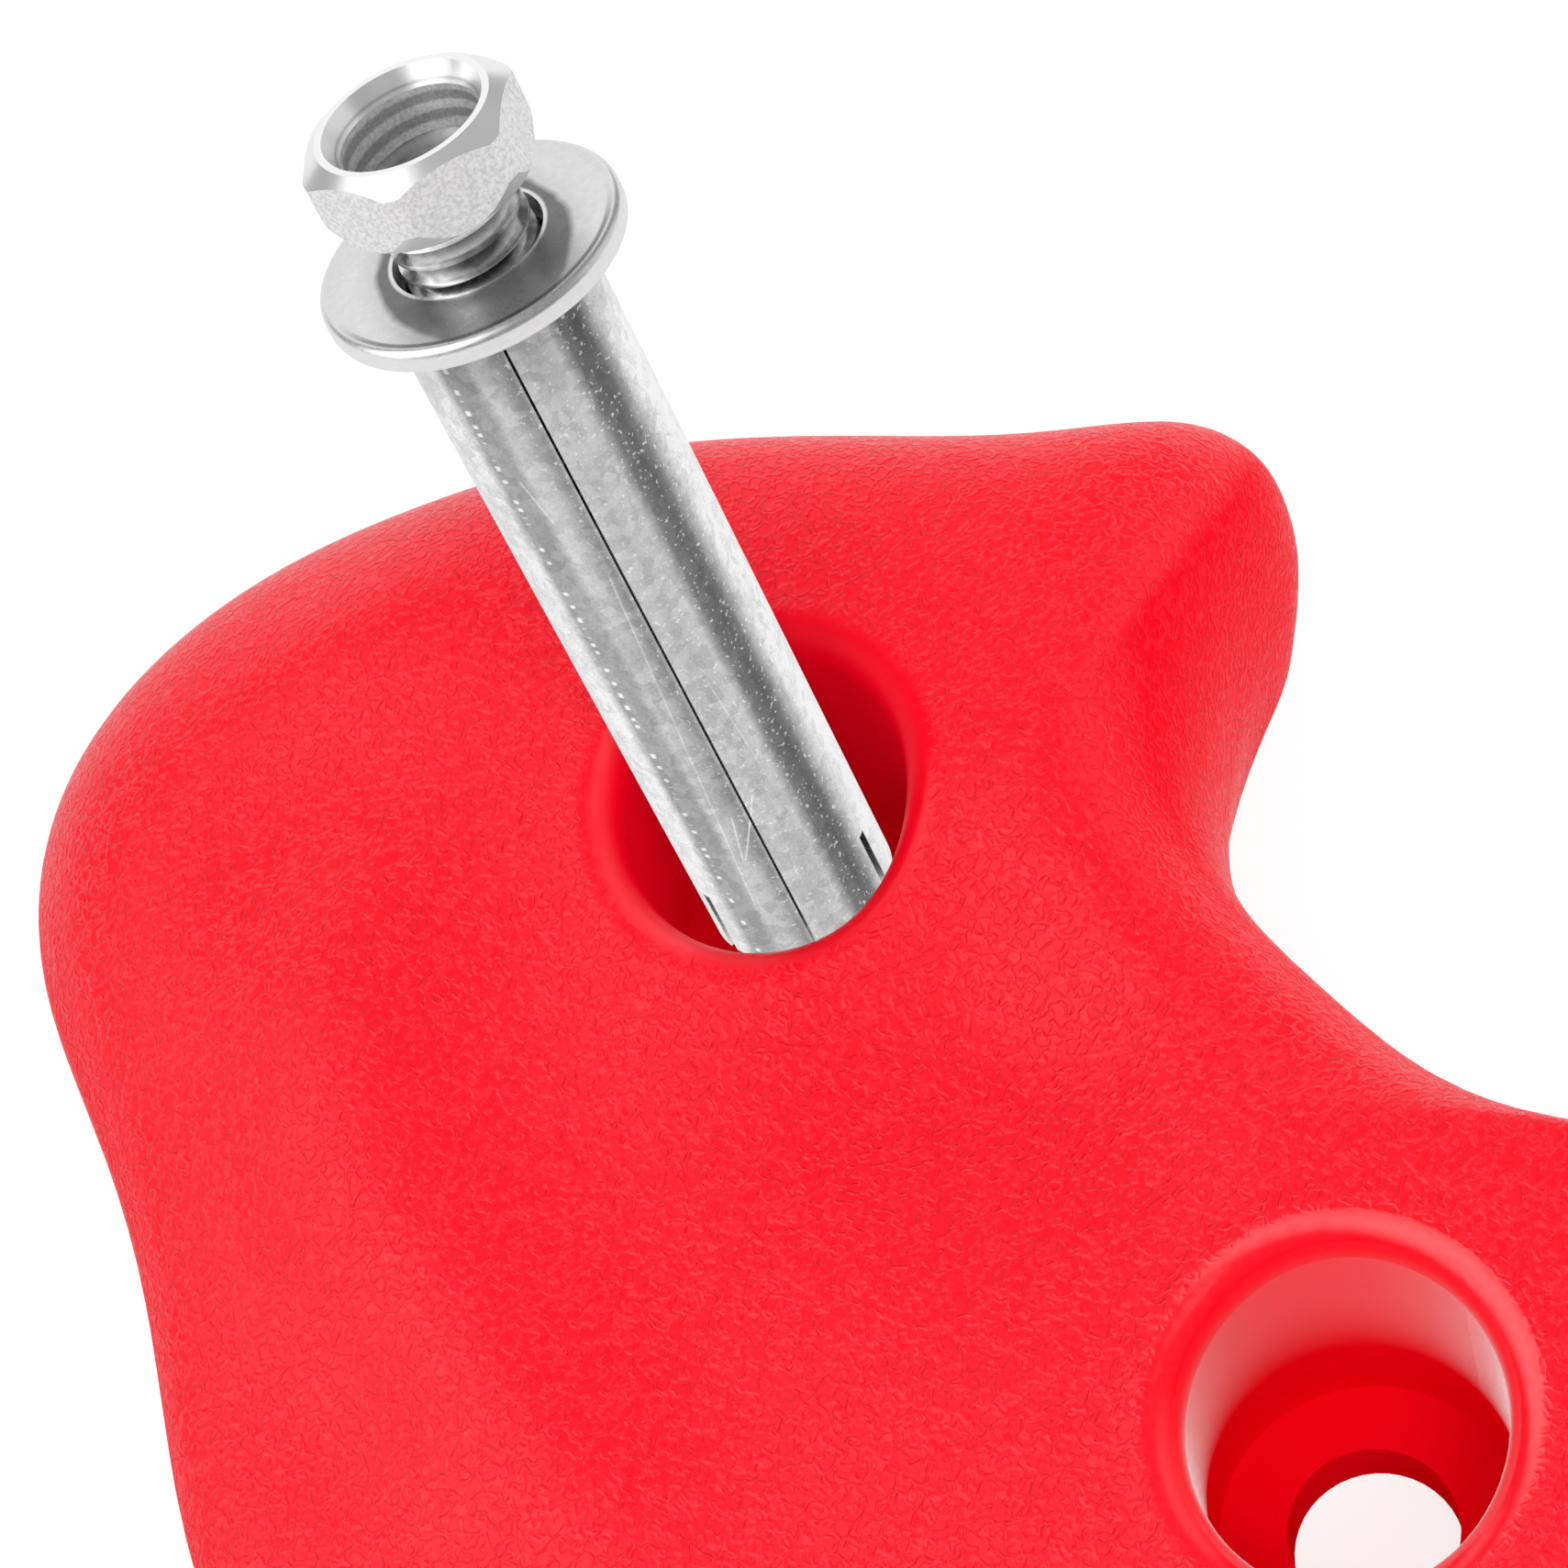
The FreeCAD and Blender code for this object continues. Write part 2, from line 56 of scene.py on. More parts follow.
SLEEVE_TOP, SLEEVE_RADIUS = reach_of("anchor_sleeve")
WASHER_RADIUS = reach_of("flat_washer")[1]
print("anchor foot", ANCHOR_FOOT, "axis", ANCHOR_AXIS)
print("sleeve", round(SLEEVE_TOP, 5), "m high,", round(SLEEVE_RADIUS, 5), "m in radius")
print("washer", round(WASHER_RADIUS, 5), "m in radius")

# %% [markdown]
# ## The camera
# The photograph looks down on the hold from its lower end, about 57 degrees
# above the table, and is rolled to the left. The camera is built from three
# directions, so its turn and roll need no trial. It looks at a point between
# the wells, from far enough for the mild perspective of a product picture.

# %% Set the camera
CAMERA_TARGET = Vector((0.00265, 0.02958, 0.0200))
CAMERA_DISTANCE = 0.260
CAMERA_RISE = math.radians(57.0)
CAMERA_TURN = math.radians(-17.85)
CAMERA_ROLL = math.radians(-23.15)
PICTURE_PIXELS, FOCAL_PIXELS = 1709, 4508
NEAREST_SEEN, FURTHEST_SEEN = 0.01, 20

back = Vector((
    math.sin(CAMERA_TURN) * math.cos(CAMERA_RISE),
    -math.cos(CAMERA_TURN) * math.cos(CAMERA_RISE),
    math.sin(CAMERA_RISE),
))
level = Vector((math.cos(CAMERA_TURN), math.sin(CAMERA_TURN), 0))
upward = back.cross(level)
right = math.cos(CAMERA_ROLL) * level + math.sin(CAMERA_ROLL) * upward
up = back.cross(right)
lens = bpy.data.cameras.new("camera")
lens.lens = lens.sensor_width * FOCAL_PIXELS / PICTURE_PIXELS
lens.clip_start, lens.clip_end = NEAREST_SEEN, FURTHEST_SEEN
camera = bpy.data.objects.new("camera", lens)
bpy.context.scene.collection.objects.link(camera)
turned_to = Matrix((right, up, back)).transposed().to_4x4()
camera.matrix_world = Matrix.Translation(CAMERA_TARGET + CAMERA_DISTANCE * back) @ turned_to
bpy.context.scene.camera = camera
print("camera at", camera.matrix_world.translation, "lens", round(lens.lens, 1))

# %% [markdown]
# ## Short helpers for finishes
# A finish is a tree of nodes. Made by hand, each node is added, set and
# wired. These helpers do the same in one line each, so a finish below reads
# like its recipe. The first few add a node and do sums with it.

# %% Define the node helpers
def new_finish(name):
    """Makes a material and gives it back with its node tree and its shader."""
    finish = bpy.data.materials.new(name)
    finish.use_nodes = True
    return finish, finish.node_tree, finish.node_tree.nodes["Principled BSDF"]


def add_node(tree, kind, feeds, output=0, **settings):
    """Adds a node, sets it, and feeds its inputs with sockets or plain values."""
    made = tree.nodes.new("ShaderNode" + kind)
    for setting, value in settings.items():
        setattr(made, setting, value)
    for socket, value in feeds.items():
        if isinstance(value, bpy.types.NodeSocket):
            tree.links.new(value, made.inputs[socket])
        else:
            made.inputs[socket].default_value = value
    return made.outputs[output]


def math_node(tree, operation, *values):
    """Adds a Math node."""
    return add_node(tree, "Math", dict(enumerate(values)), operation=operation)


def plus(tree, first, second):
    """Adds two values."""
    return math_node(tree, "ADD", first, second)


def minus(tree, first, second):
    """Takes the second value from the first."""
    return math_node(tree, "SUBTRACT", first, second)


def times(tree, first, second):
    """Multiplies two values."""
    return math_node(tree, "MULTIPLY", first, second)


def fade(tree, value, start, end, low=0.0, high=1.0):
    """Goes smoothly from low to high while the value goes from start to end."""
    feeds = {"Value": value, "From Min": start, "From Max": end, "To Min": low, "To Max": high}
    return add_node(tree, "MapRange", feeds, interpolation_type="SMOOTHSTEP")


def between(tree, value, rise_start, rise_end, fall_start, fall_end):
    """Gives 1 between two edges of a value and 0 outside, soft at both."""
    rising = fade(tree, value, rise_start, rise_end)
    return times(tree, rising, fade(tree, value, fall_start, fall_end, 1.0, 0.0))


def mixed(tree, share, low, high):
    """Goes smoothly from low to high with a share of 0 to 1."""
    return fade(tree, share, 0.0, 1.0, low, high)


# %% [markdown]
# ## Places, noises and ramps
# The other helpers read places on a piece, draw noises and ramps, and put a
# finish on. They could be node groups, but plain functions are easier to
# read and change. A noise hardly leaves its middle, so what follows it goes
# from low to high over a named part of its range.

# %% Define the helpers for places and patterns
NOISE_RANGE = (0.30, 0.70)
NOISE_MIDDLE = (0.35, 0.65)
NOISE_CENTRE = 0.5


def object_place(tree):
    """The place on the piece, in metres."""
    return add_node(tree, "TexCoord", {}, output="Object")


def split_place(tree, place):
    """Gives back a place's three distances one by one."""
    made = tree.nodes.new("ShaderNodeSeparateXYZ")
    tree.links.new(place, made.inputs[0])
    return tuple(made.outputs)


def along(tree, place, direction):
    """How far a place lies along a direction."""
    return add_node(tree, "VectorMath", {0: place, 1: direction}, output="Value", operation="DOT_PRODUCT")


def length_of(tree, place):
    """How long a vector is."""
    return add_node(tree, "VectorMath", {0: place}, output="Value", operation="LENGTH")


def noise(tree, place, scale, detail=0.0, roughness=0.5, distortion=0.0):
    """A noise of so many bumps a metre."""
    feeds = {"Vector": place, "Scale": scale, "Detail": detail}
    feeds.update({"Roughness": roughness, "Distortion": distortion})
    return add_node(tree, "TexNoise", feeds)


def tones(tree, factor, stops):
    """Turns a value into greys or colours through a ramp of stops."""
    made = tree.nodes.new("ShaderNodeValToRGB")
    tree.links.new(factor, made.inputs[0])
    ramp = made.color_ramp
    while len(ramp.elements) < len(stops):
        ramp.elements.new(0.5)
    for element, (place, tone) in zip(ramp.elements, stops):
        element.position = place
        element.color = (tone, tone, tone, 1) if isinstance(tone, float) else (*tone, 1)
    return made.outputs["Color"]


def blend(tree, share, first, second):
    """Goes from the first colour to the second with a share of 0 to 1."""
    return add_node(tree, "MixRGB", {"Fac": share, "Color1": first, "Color2": second})


def grey_of(tree, tone):
    """Turns a value into a grey."""
    return add_node(tree, "CombineColor", {0: tone, 1: tone, 2: tone})


def bump(tree, height, depth, under=None):
    """Turns a height of 0 to 1 into relief of so many metres."""
    feeds = {"Height": height, "Distance": depth, "Strength": 1.0}
    if under is not None:
        feeds["Normal"] = under
    return add_node(tree, "Bump", feeds)


def feed(tree, shader, **sockets):
    """Wires values to a shader's sockets, named with _ for a space."""
    for socket, value in sockets.items():
        tree.links.new(value, shader.inputs[socket.replace("_", " ")])


def dress(node, finish):
    """Gives a CAD node its finish."""
    for slot in frame["nodes"][node].material_slots:
        slot.material = finish
    print(node, "is finished in", finish.name)


# %% [markdown]
# ## Red moulded plastic: how far a place is from a well
# The hold is polyester or polyurethane resin, red right through. Its wells
# are smooth in the mould, with a rounded collar, so the grain fades out round
# them. Both wells stand equally far from the middle of the hold, so one
# folded distance serves both, and the sign tells the empty lower well.

# %% Measure from the wells
mounts = {mount["name"]: mount for mount in frame["record"]["mounts"]}
WELL_ROW = abs(mounts["lower_bore"]["pos_m"][1])
WELL_WALL, WALL_END = 0.0092, 0.0098
SMOOTH_RIM, GRAIN_START, COLLAR_FOOT = 0.0108, 0.0120, 0.0130
MIDDLE = 0.004

plastic, tree, shader = new_finish("red_moulded_plastic")
place = object_place(tree)
crosswise, lengthwise, height = split_place(tree, place)
off_row = minus(tree, math_node(tree, "ABSOLUTE", lengthwise), WELL_ROW)
reach = length_of(tree, add_node(tree, "CombineXYZ", {0: crosswise, 1: off_row}))
in_well = fade(tree, reach, WELL_WALL, WALL_END, 1.0, 0.0)
empty_well = fade(tree, lengthwise, -MIDDLE, MIDDLE, 1.0, 0.0)
grained = fade(tree, reach, SMOOTH_RIM, GRAIN_START)
print("wells", WELL_ROW, "m from the middle, grain from", GRAIN_START, "m round them")

# %% [markdown]
# ## Red moulded plastic: the grain
# The mould's grain shows all over the face as fine winding ridges about
# 0.7 mm apart. It could be modelled, but ridges this fine would need millions
# of faces, so the grain is a noise folded at its middle value, which leaves
# winding ridges. Fine pits lie over it, and the collars of the wells are a
# wider relief under it.

# %% Draw the grain
GRAIN_FOLDS, GRAIN_WINDING, RIDGE_WIDTH = 1350.0, 0.60, 0.16
PITS, PIT_SHARE = 2600.0, 0.5
GRAIN_DEPTH = 0.00008
LOW_COLLAR, HIGH_COLLAR = 0.00009, 0.00026

folded = noise(tree, place, GRAIN_FOLDS, distortion=GRAIN_WINDING)
fold = math_node(tree, "ABSOLUTE", minus(tree, folded, NOISE_CENTRE))
ridges = times(tree, fade(tree, fold, 0.0, RIDGE_WIDTH, 1.0, 0.0), grained)
pits = noise(tree, place, PITS, detail=1.0)
grit = times(tree, times(tree, pits, PIT_SHARE), grained)
collar_height = mixed(tree, empty_well, LOW_COLLAR, HIGH_COLLAR)
collar = bump(tree, fade(tree, reach, SMOOTH_RIM, COLLAR_FOOT, 1.0, 0.0), collar_height)
feed(tree, shader, Normal=bump(tree, plus(tree, ridges, grit), GRAIN_DEPTH, collar))
print("grain of", GRAIN_FOLDS, "folds a metre,", GRAIN_DEPTH, "m deep")

# %% [markdown]
# ## Red moulded plastic: the red
# The red is deep and even, with faint clouds from the mixing. The ridges are painted a little paler than the
# valleys, a painted sheen, and are a little smoother. The smooth rims of the wells are glossier than the
# grained face.

# %% Colour the plastic
CLOUDS = 60.0
VALLEY_REDS = [(0.30, (0.910, 0.0006, 0.0120)), (0.70, (0.940, 0.0014, 0.0160))]
RIDGE_SHEEN_REDS = [(0.35, (0.940, 0.0020, 0.0170)), (0.65, (0.955, 0.0105, 0.0260))]
FINE_ROUGHNESS, COARSE_ROUGHNESS, RUBBED_SMOOTH = 0.24, 0.36, -0.06
RIM_GLOSS = 0.60

valley_red = tones(tree, noise(tree, place, CLOUDS, detail=3.0, roughness=0.6), VALLEY_REDS)
# Painted sheen: the ridges of the grain are a paler red.
red = blend(tree, ridges, valley_red, tones(tree, pits, RIDGE_SHEEN_REDS))
rough = fade(tree, pits, *NOISE_RANGE, FINE_ROUGHNESS, COARSE_ROUGHNESS)
rough = plus(tree, rough, times(tree, ridges, RUBBED_SMOOTH))
rough = times(tree, rough, mixed(tree, grained, RIM_GLOSS, 1.0))
feed(tree, shader, Base_Color=red, Roughness=rough)
print("red from", VALLEY_REDS[0][1], "to", RIDGE_SHEEN_REDS[-1][1])

# %% [markdown]
# ## Red moulded plastic: the shine
# The top of the hold is handled and polished, its steep sides keep the dull
# skin of the mould. The rim of the empty well shines most, and the upper part
# of its wall a little. The wells' own depth stays dull. One even shine is set
# as well, for a model format that knows no other.

# %% Set the shine of the plastic
STEEP, FLAT, SIDE_SHINE, TOP_SHINE = 0.42, 0.95, 0.012, 0.33
USED_RIM_SHINE, EMPTY_RIM_SHINE = 0.8, 2.2
DEEP_WALL, BRIGHT_WALL, WALL_SHINE = 0.010, 0.019, 0.13
EVEN_SHINE = 0.25

facing = split_place(tree, add_node(tree, "NewGeometry", {}, output="Normal"))[2]
rim_shine = mixed(tree, empty_well, USED_RIM_SHINE, EMPTY_RIM_SHINE)
rim_shine = times(tree, minus(tree, 1.0, grained), rim_shine)
face_shine = fade(tree, facing, STEEP, FLAT, SIDE_SHINE, TOP_SHINE)
face_shine = times(tree, face_shine, plus(tree, grained, rim_shine))
face_shine = times(tree, face_shine, minus(tree, 1.0, in_well))
wall_shine = times(tree, empty_well, fade(tree, height, DEEP_WALL, BRIGHT_WALL, 0.0, WALL_SHINE))
shader.inputs["Specular IOR Level"].default_value = EVEN_SHINE
feed(tree, shader, Specular_IOR_Level=plus(tree, times(tree, in_well, wall_shine), face_shine))
dress("hold_body", plastic)

# %% [markdown]
# ## The sides of the anchor
# The steel finishes need to know where on the anchor a place lies: how high
# along the axis, how far from it, and how far across. The side that is
# bright in the photograph is fixed once here, as directions in the object's
# own space, so the finishes stay where they are from any view.

# %% Find places on the anchor
ACROSS = ANCHOR_AXIS.cross(-back).normalized()
ACROSS *= math.copysign(1, ACROSS.dot(right))
TOWARD = ANCHOR_AXIS.cross(ACROSS).normalized()
TOWARD *= math.copysign(1, TOWARD.dot(back))


def anchor_place(tree):
    """A place from the anchor's foot, its height on the axis and its distance from it."""
    place = add_node(tree, "VectorMath", {0: object_place(tree), 1: ANCHOR_FOOT}, operation="SUBTRACT")
    rise = along(tree, place, ANCHOR_AXIS)
    on_axis = add_node(tree, "VectorMath", {0: ANCHOR_AXIS, "Scale": rise}, operation="SCALE")
    off_axis = add_node(tree, "VectorMath", {0: place, 1: on_axis}, operation="SUBTRACT")
    return place, rise, length_of(tree, off_axis)


print("across", ACROSS, "toward", TOWARD)

# %% [markdown]
# ## Zinc-plated steel of the sleeve: the scratches
# A few fine scratches run over the tube where it rubbed against others. They
# could be cut into the mesh, but they are far too fine for it, so each is a
# thin bright line between two places. A place is a share across the tube, and
# metres from the foot.

# %% Define the scratches
SCRATCHES = [
    ((0.29, 0.0150), (0.50, 0.0205), 0.75),
    ((0.29, 0.0150), (0.35, 0.0195), 0.60),
    ((0.37, 0.0400), (0.24, 0.0110), 0.40),
    ((0.55, 0.0300), (0.60, 0.0215), 0.35),
    ((0.20, 0.0480), (0.26, 0.0440), 0.45),
]
SCRATCH_CORE, SCRATCH_EDGE, SCRATCH_TAPER = 0.000025, 0.00008, 0.0006


def scratch(tree, across, rise, start, end, strength):
    """A fine straight scratch on the tube, from one place to another."""
    first, last = (Vector((share * 2 * SLEEVE_RADIUS, height, 0)) for share, height in (start, end))
    length = (last - first).length
    way = (last - first) / length
    spot = add_node(tree, "CombineXYZ", {0: across, 1: rise})
    spot = add_node(tree, "VectorMath", {0: spot, 1: first}, operation="SUBTRACT")
    off = math_node(tree, "ABSOLUTE", along(tree, spot, Vector((-way.y, way.x, 0))))
    run = along(tree, spot, way)
    inside = between(tree, run, 0.0, SCRATCH_TAPER, length - SCRATCH_TAPER, length)
    return times(tree, fade(tree, off, SCRATCH_CORE, SCRATCH_EDGE, strength, 0.0), inside)


print(len(SCRATCHES), "scratches")

# %% [markdown]
# ## Zinc-plated steel of the sleeve: its painted reflection bands
# The sleeve is rolled from plated strip. Its lighter and darker bands along its length are painted
# reflections of the room. The bands could be left to the lamps, but the real ones are sharper than a soft
# room gives, so they are a ramp across the tube. A row of painted glints, a few more scattered painted
# glints and the scratches lie over them.

# %% Draw the painted reflection bands of the sleeve
REFLECTION_BANDS = [
    (0.00, 0.80), (0.09, 0.88), (0.13, 0.40), (0.22, 0.42), (0.26, 0.64), (0.32, 0.55),
    (0.40, 0.31), (0.44, 0.62), (0.52, 0.56), (0.64, 0.60), (0.70, 0.22), (0.77, 0.14),
    (0.81, 0.20), (0.86, 0.52), (0.90, 0.82), (0.98, 0.98),
]
GLINT_ROW_SPOTS, GLINT_ROW_START, GLINT_ROW_FULL = 1900.0, 0.54, 0.60
GLINT_ROW_PLACE = (0.130, 0.140, 0.148, 0.158)
GLINTS, GLINT_START, GLINT_FULL, GLINT_TONE = 3900.0, 0.64, 0.70, 0.55
GLINT_SIDE = (0.25, 0.40)
GLINT_AND_SCRATCH_GREY = (0.95, 0.95, 0.95, 1)
TUBE_MIDDLE = 0.5

plated, tree, shader = new_finish("plated_sleeve_steel")
place, rise, _ = anchor_place(tree)
share = plus(tree, along(tree, place, ACROSS / (2 * SLEEVE_RADIUS)), TUBE_MIDDLE)
across = times(tree, share, 2 * SLEEVE_RADIUS)
# Painted glints: a row of small bright spots across the tube, and a few more scattered bright spots.
glint_row = noise(tree, add_node(tree, "CombineXYZ", {0: rise}), GLINT_ROW_SPOTS)
glint_row = times(tree, fade(tree, glint_row, GLINT_ROW_START, GLINT_ROW_FULL), between(tree, share, *GLINT_ROW_PLACE))
glints = fade(tree, noise(tree, place, GLINTS, detail=1.0), GLINT_START, GLINT_FULL)
glints = times(tree, glints, fade(tree, share, *GLINT_SIDE))
# The marks are painted glints and real scratches, all in one bright grey.
marks = math_node(tree, "MAXIMUM", times(tree, glints, GLINT_TONE), glint_row)
for start, end, strength in SCRATCHES:
    marks = math_node(tree, "MAXIMUM", marks, scratch(tree, across, rise, start, end, strength))
# Painted reflection: the bands across the tube stand for the bright and dark room mirrored in the steel.
reflection_bands_and_marks = blend(tree, marks, tones(tree, share, REFLECTION_BANDS), GLINT_AND_SCRATCH_GREY)
print(len(REFLECTION_BANDS), "stops across", round(2 * SLEEVE_RADIUS, 5), "m of tube")

# %% [markdown]
# ## Zinc-plated steel of the sleeve: its crystals
# Zinc freezes in small crystals, each a little lighter or darker than the next, with a finer speckle and
# faint streaks. They are cells and noises that make the bands lighter or darker. Just under the washer the
# steel is painted darker: a painted shade under the washer.

# %% Finish the sleeve
CRYSTALS, CRYSTAL_TONES = 1500.0, (0.90, 1.12)
SPECKLE, SPECKLE_TONE, SPECKLE_DEPTH = 5200.0, 0.10, 0.000005
STREAKS, STREAK_TONE, STREAK_STRETCH = 900.0, 0.06, (1.0, 0.22, 0.10)
UNDER_WASHER_SHADE_START, UNDER_WASHER_SHADE_END, UNDER_WASHER_SHADE_TONE = SLEEVE_TOP - 0.008, SLEEVE_TOP - 0.001, 0.72
SLEEVE_ROUGHNESS = (0.24, 0.40)

crystals = add_node(tree, "TexVoronoi", {"Vector": place, "Scale": CRYSTALS}, output="Color")
crystals = add_node(tree, "SeparateColor", {0: crystals})
speckle = noise(tree, place, SPECKLE, detail=2.0)
streak_place = add_node(tree, "VectorMath", {0: place, 1: STREAK_STRETCH}, operation="MULTIPLY")
streaks = noise(tree, streak_place, STREAKS, detail=2.0, roughness=0.6)
fine = plus(
    tree,
    fade(tree, speckle, *NOISE_MIDDLE, -SPECKLE_TONE, SPECKLE_TONE),
    fade(tree, streaks, *NOISE_MIDDLE, -STREAK_TONE, STREAK_TONE),
)
tone = plus(tree, mixed(tree, crystals, *CRYSTAL_TONES), fine)
# Painted shade: the tube darkens just under the washer.
tone = times(tree, tone, fade(tree, rise, UNDER_WASHER_SHADE_START, UNDER_WASHER_SHADE_END, 1.0, UNDER_WASHER_SHADE_TONE))
colour = add_node(tree, "VectorMath", {0: reflection_bands_and_marks, "Scale": tone}, operation="SCALE")
rough = fade(tree, speckle, *NOISE_RANGE, *SLEEVE_ROUGHNESS)
feed(tree, shader, Base_Color=colour, Roughness=rough, Normal=bump(tree, speckle, SPECKLE_DEPTH))
shader.inputs["Metallic"].default_value = 1.0
dress("anchor_sleeve", plated)

# %% [markdown]
# ## Tumbled steel of the washer: its face
# A stamped washer is tumbled with others until its edges are round and its face is a smooth satin. It is
# slightly dished, so its face mirrors the dark of the room in two fans to the left and right of the hole,
# and the tent beyond them. The dish is too flat to model, so the fans are a painted reflection, drawn by how
# far a place lies across the washer. A pale patch toward the front is a painted highlight.

# %% Draw the fans on the washer
PAINTED_REFLECTION_FANS = [
    (0.00, 0.50), (0.14, 0.46), (0.30, 0.32), (0.46, 0.19),
    (0.60, 0.18), (0.65, 0.66), (0.80, 0.74), (1.00, 0.70),
]
FAN_MIDDLE, FAN_BEND, FAN_WANDER = 0.15, 0.50, 0.015
SOFT_CLOUDS = 260.0
HIGHLIGHT_START, HIGHLIGHT_FULL, HIGHLIGHT_WEAK, HIGHLIGHT_STRONG = 0.35, 0.85, 0.10, 0.45
HIGHLIGHT_GREY = (0.70, 0.70, 0.70, 1)

satin, tree, shader = new_finish("tumbled_washer_steel")
place, _, radius = anchor_place(tree)
sideways = along(tree, place, ACROSS / WASHER_RADIUS)
forward = along(tree, place, TOWARD / WASHER_RADIUS)
# Painted reflection: two dark fans left and right of the hole, and the tent beyond them.
bow = times(tree, math_node(tree, "POWER", minus(tree, FAN_MIDDLE, forward), 2.0), FAN_BEND)
bent = plus(tree, math_node(tree, "ABSOLUTE", sideways), bow)
soft = noise(tree, place, SOFT_CLOUDS, detail=2.0)
bent = plus(tree, bent, fade(tree, soft, *NOISE_RANGE, -FAN_WANDER, FAN_WANDER))
# Painted highlight: a pale patch in soft clouds toward the front of the face.
glow = fade(tree, soft, *NOISE_MIDDLE, HIGHLIGHT_WEAK, HIGHLIGHT_STRONG)
glow = times(tree, fade(tree, forward, HIGHLIGHT_START, HIGHLIGHT_FULL), glow)
face = blend(tree, glow, tones(tree, bent, PAINTED_REFLECTION_FANS), HIGHLIGHT_GREY)
print(len(PAINTED_REFLECTION_FANS), "stops out from the middle of the washer")

# %% [markdown]
# ## Tumbled steel of the washer: its edges
# The rolled rim and the edge of the hole keep the plain bright steel, and a thin dark line is painted inside
# the rim on the side toward the front, where the face turns over: a painted reflection of the dark room.
# They are rings by the distance from the axis, as a share of the washer's radius.

# %% Finish the washer
HOLE_EDGE = (0.515, 0.535)
DARK_REFLECTION_RING = (0.905, 0.925, 0.940, 0.955)
DARK_REFLECTION_SIDE, DARK_REFLECTION_STRENGTH = (0.10, 0.60), 0.75
ROLLED_RIM = (0.945, 0.965)
PLAIN_GREY, DARK_REFLECTION_GREY = (0.78, 0.78, 0.78, 1), (0.10, 0.10, 0.10, 1)
DENTS, DENT_DEPTH = 2400.0, 0.000003
WASHER_ROUGHNESS, WASHER_METAL = (0.26, 0.36), 0.82

ring = math_node(tree, "DIVIDE", radius, WASHER_RADIUS)
# Painted reflection: a thin dark line inside the rim, on the front side only.
dark_reflection = times(tree, between(tree, ring, *DARK_REFLECTION_RING), fade(tree, forward, *DARK_REFLECTION_SIDE))
edges = math_node(tree, "MAXIMUM", fade(tree, ring, *ROLLED_RIM), fade(tree, ring, *HOLE_EDGE, 1.0, 0.0))
face = blend(tree, times(tree, dark_reflection, DARK_REFLECTION_STRENGTH), face, DARK_REFLECTION_GREY)
face = blend(tree, edges, face, PLAIN_GREY)
dents = noise(tree, place, DENTS, detail=3.0)
rough = fade(tree, dents, *NOISE_RANGE, *WASHER_ROUGHNESS)
feed(tree, shader, Base_Color=face, Roughness=rough, Normal=bump(tree, dents, DENT_DEPTH))
shader.inputs["Metallic"].default_value = WASHER_METAL
dress("flat_washer", satin)

# %% [markdown]
# ## The nut: blasted flats and turned corners
# The nut's six flats are matt and finely pitted, while its chamfers, its rim and its countersink are turned
# and shine. One finish covers both: the slope of a face against the anchor's axis tells a flat from a turned
# face. Inside the bore the thread is painted as fine dark turns, a painted shade in its grooves.

# %% Finish the nut
TURNED_SLOPE = (0.10, 0.16)
BORE_WALL = (0.0042, 0.0043)
THREAD_PITCH = 0.00125
THREAD_GROOVE_SHADE, TURN_EDGE = 0.45, 0.6
FLAT_PITS, FLAT_PIT_RANGE, FLAT_TONES = 4200.0, (0.30, 0.66), (0.62, 0.84)
TURNED_TONE = 0.84
FLAT_ROUGHNESS, TURNED_ROUGHNESS = 0.46, 0.22
FLAT_PIT_DEPTH, TURNED_PIT_SHARE = 0.00002, 0.10
NUT_METAL = 0.62

nut_steel, tree, shader = new_finish("blasted_nut_steel")
place, rise, radius = anchor_place(tree)
slope = along(tree, add_node(tree, "NewGeometry", {}, output="True Normal"), ANCHOR_AXIS)
turned = fade(tree, math_node(tree, "ABSOLUTE", slope), *TURNED_SLOPE)
pitting = noise(tree, place, FLAT_PITS, detail=2.0, roughness=0.6)
flats = times(tree, fade(tree, pitting, *FLAT_PIT_RANGE, *FLAT_TONES), mixed(tree, turned, 1.0, 0.0))
grey = plus(tree, flats, mixed(tree, turned, 0.0, TURNED_TONE))
# Painted shade: the thread's grooves in the bore are darker.
turns = math_node(tree, "SINE", times(tree, rise, 2 * math.pi / THREAD_PITCH))
groove_shade = fade(tree, turns, -TURN_EDGE, TURN_EDGE, THREAD_GROOVE_SHADE, 0.0)
bore_groove_shade = times(tree, fade(tree, radius, *BORE_WALL, 1.0, 0.0), groove_shade)
grey = times(tree, grey, minus(tree, 1.0, bore_groove_shade))
rough = mixed(tree, turned, FLAT_ROUGHNESS, TURNED_ROUGHNESS)
depth = times(tree, pitting, mixed(tree, turned, 1.0, TURNED_PIT_SHARE))
relief = bump(tree, depth, FLAT_PIT_DEPTH)
feed(tree, shader, Base_Color=grey_of(tree, grey), Roughness=rough, Normal=relief)
shader.inputs["Metallic"].default_value = NUT_METAL
dress("hex_nut", nut_steel)

# %% [markdown]
# ## The stud
# The stud's thread is rolled, so its turns are smooth. They are lighter at the crest and painted darker
# toward the root: a painted shade in the thread's grooves. How far a place lies from the axis tells crest
# from root.

# %% Finish the stud
THREAD_ROOT, THREAD_CREST, ROOT_SHADE_TONE = 0.0033, 0.0039, 0.62
OIL_MARKS, STUD_TONES, STUD_ROUGHNESS = 1800.0, (0.74, 0.92), (0.14, 0.26)

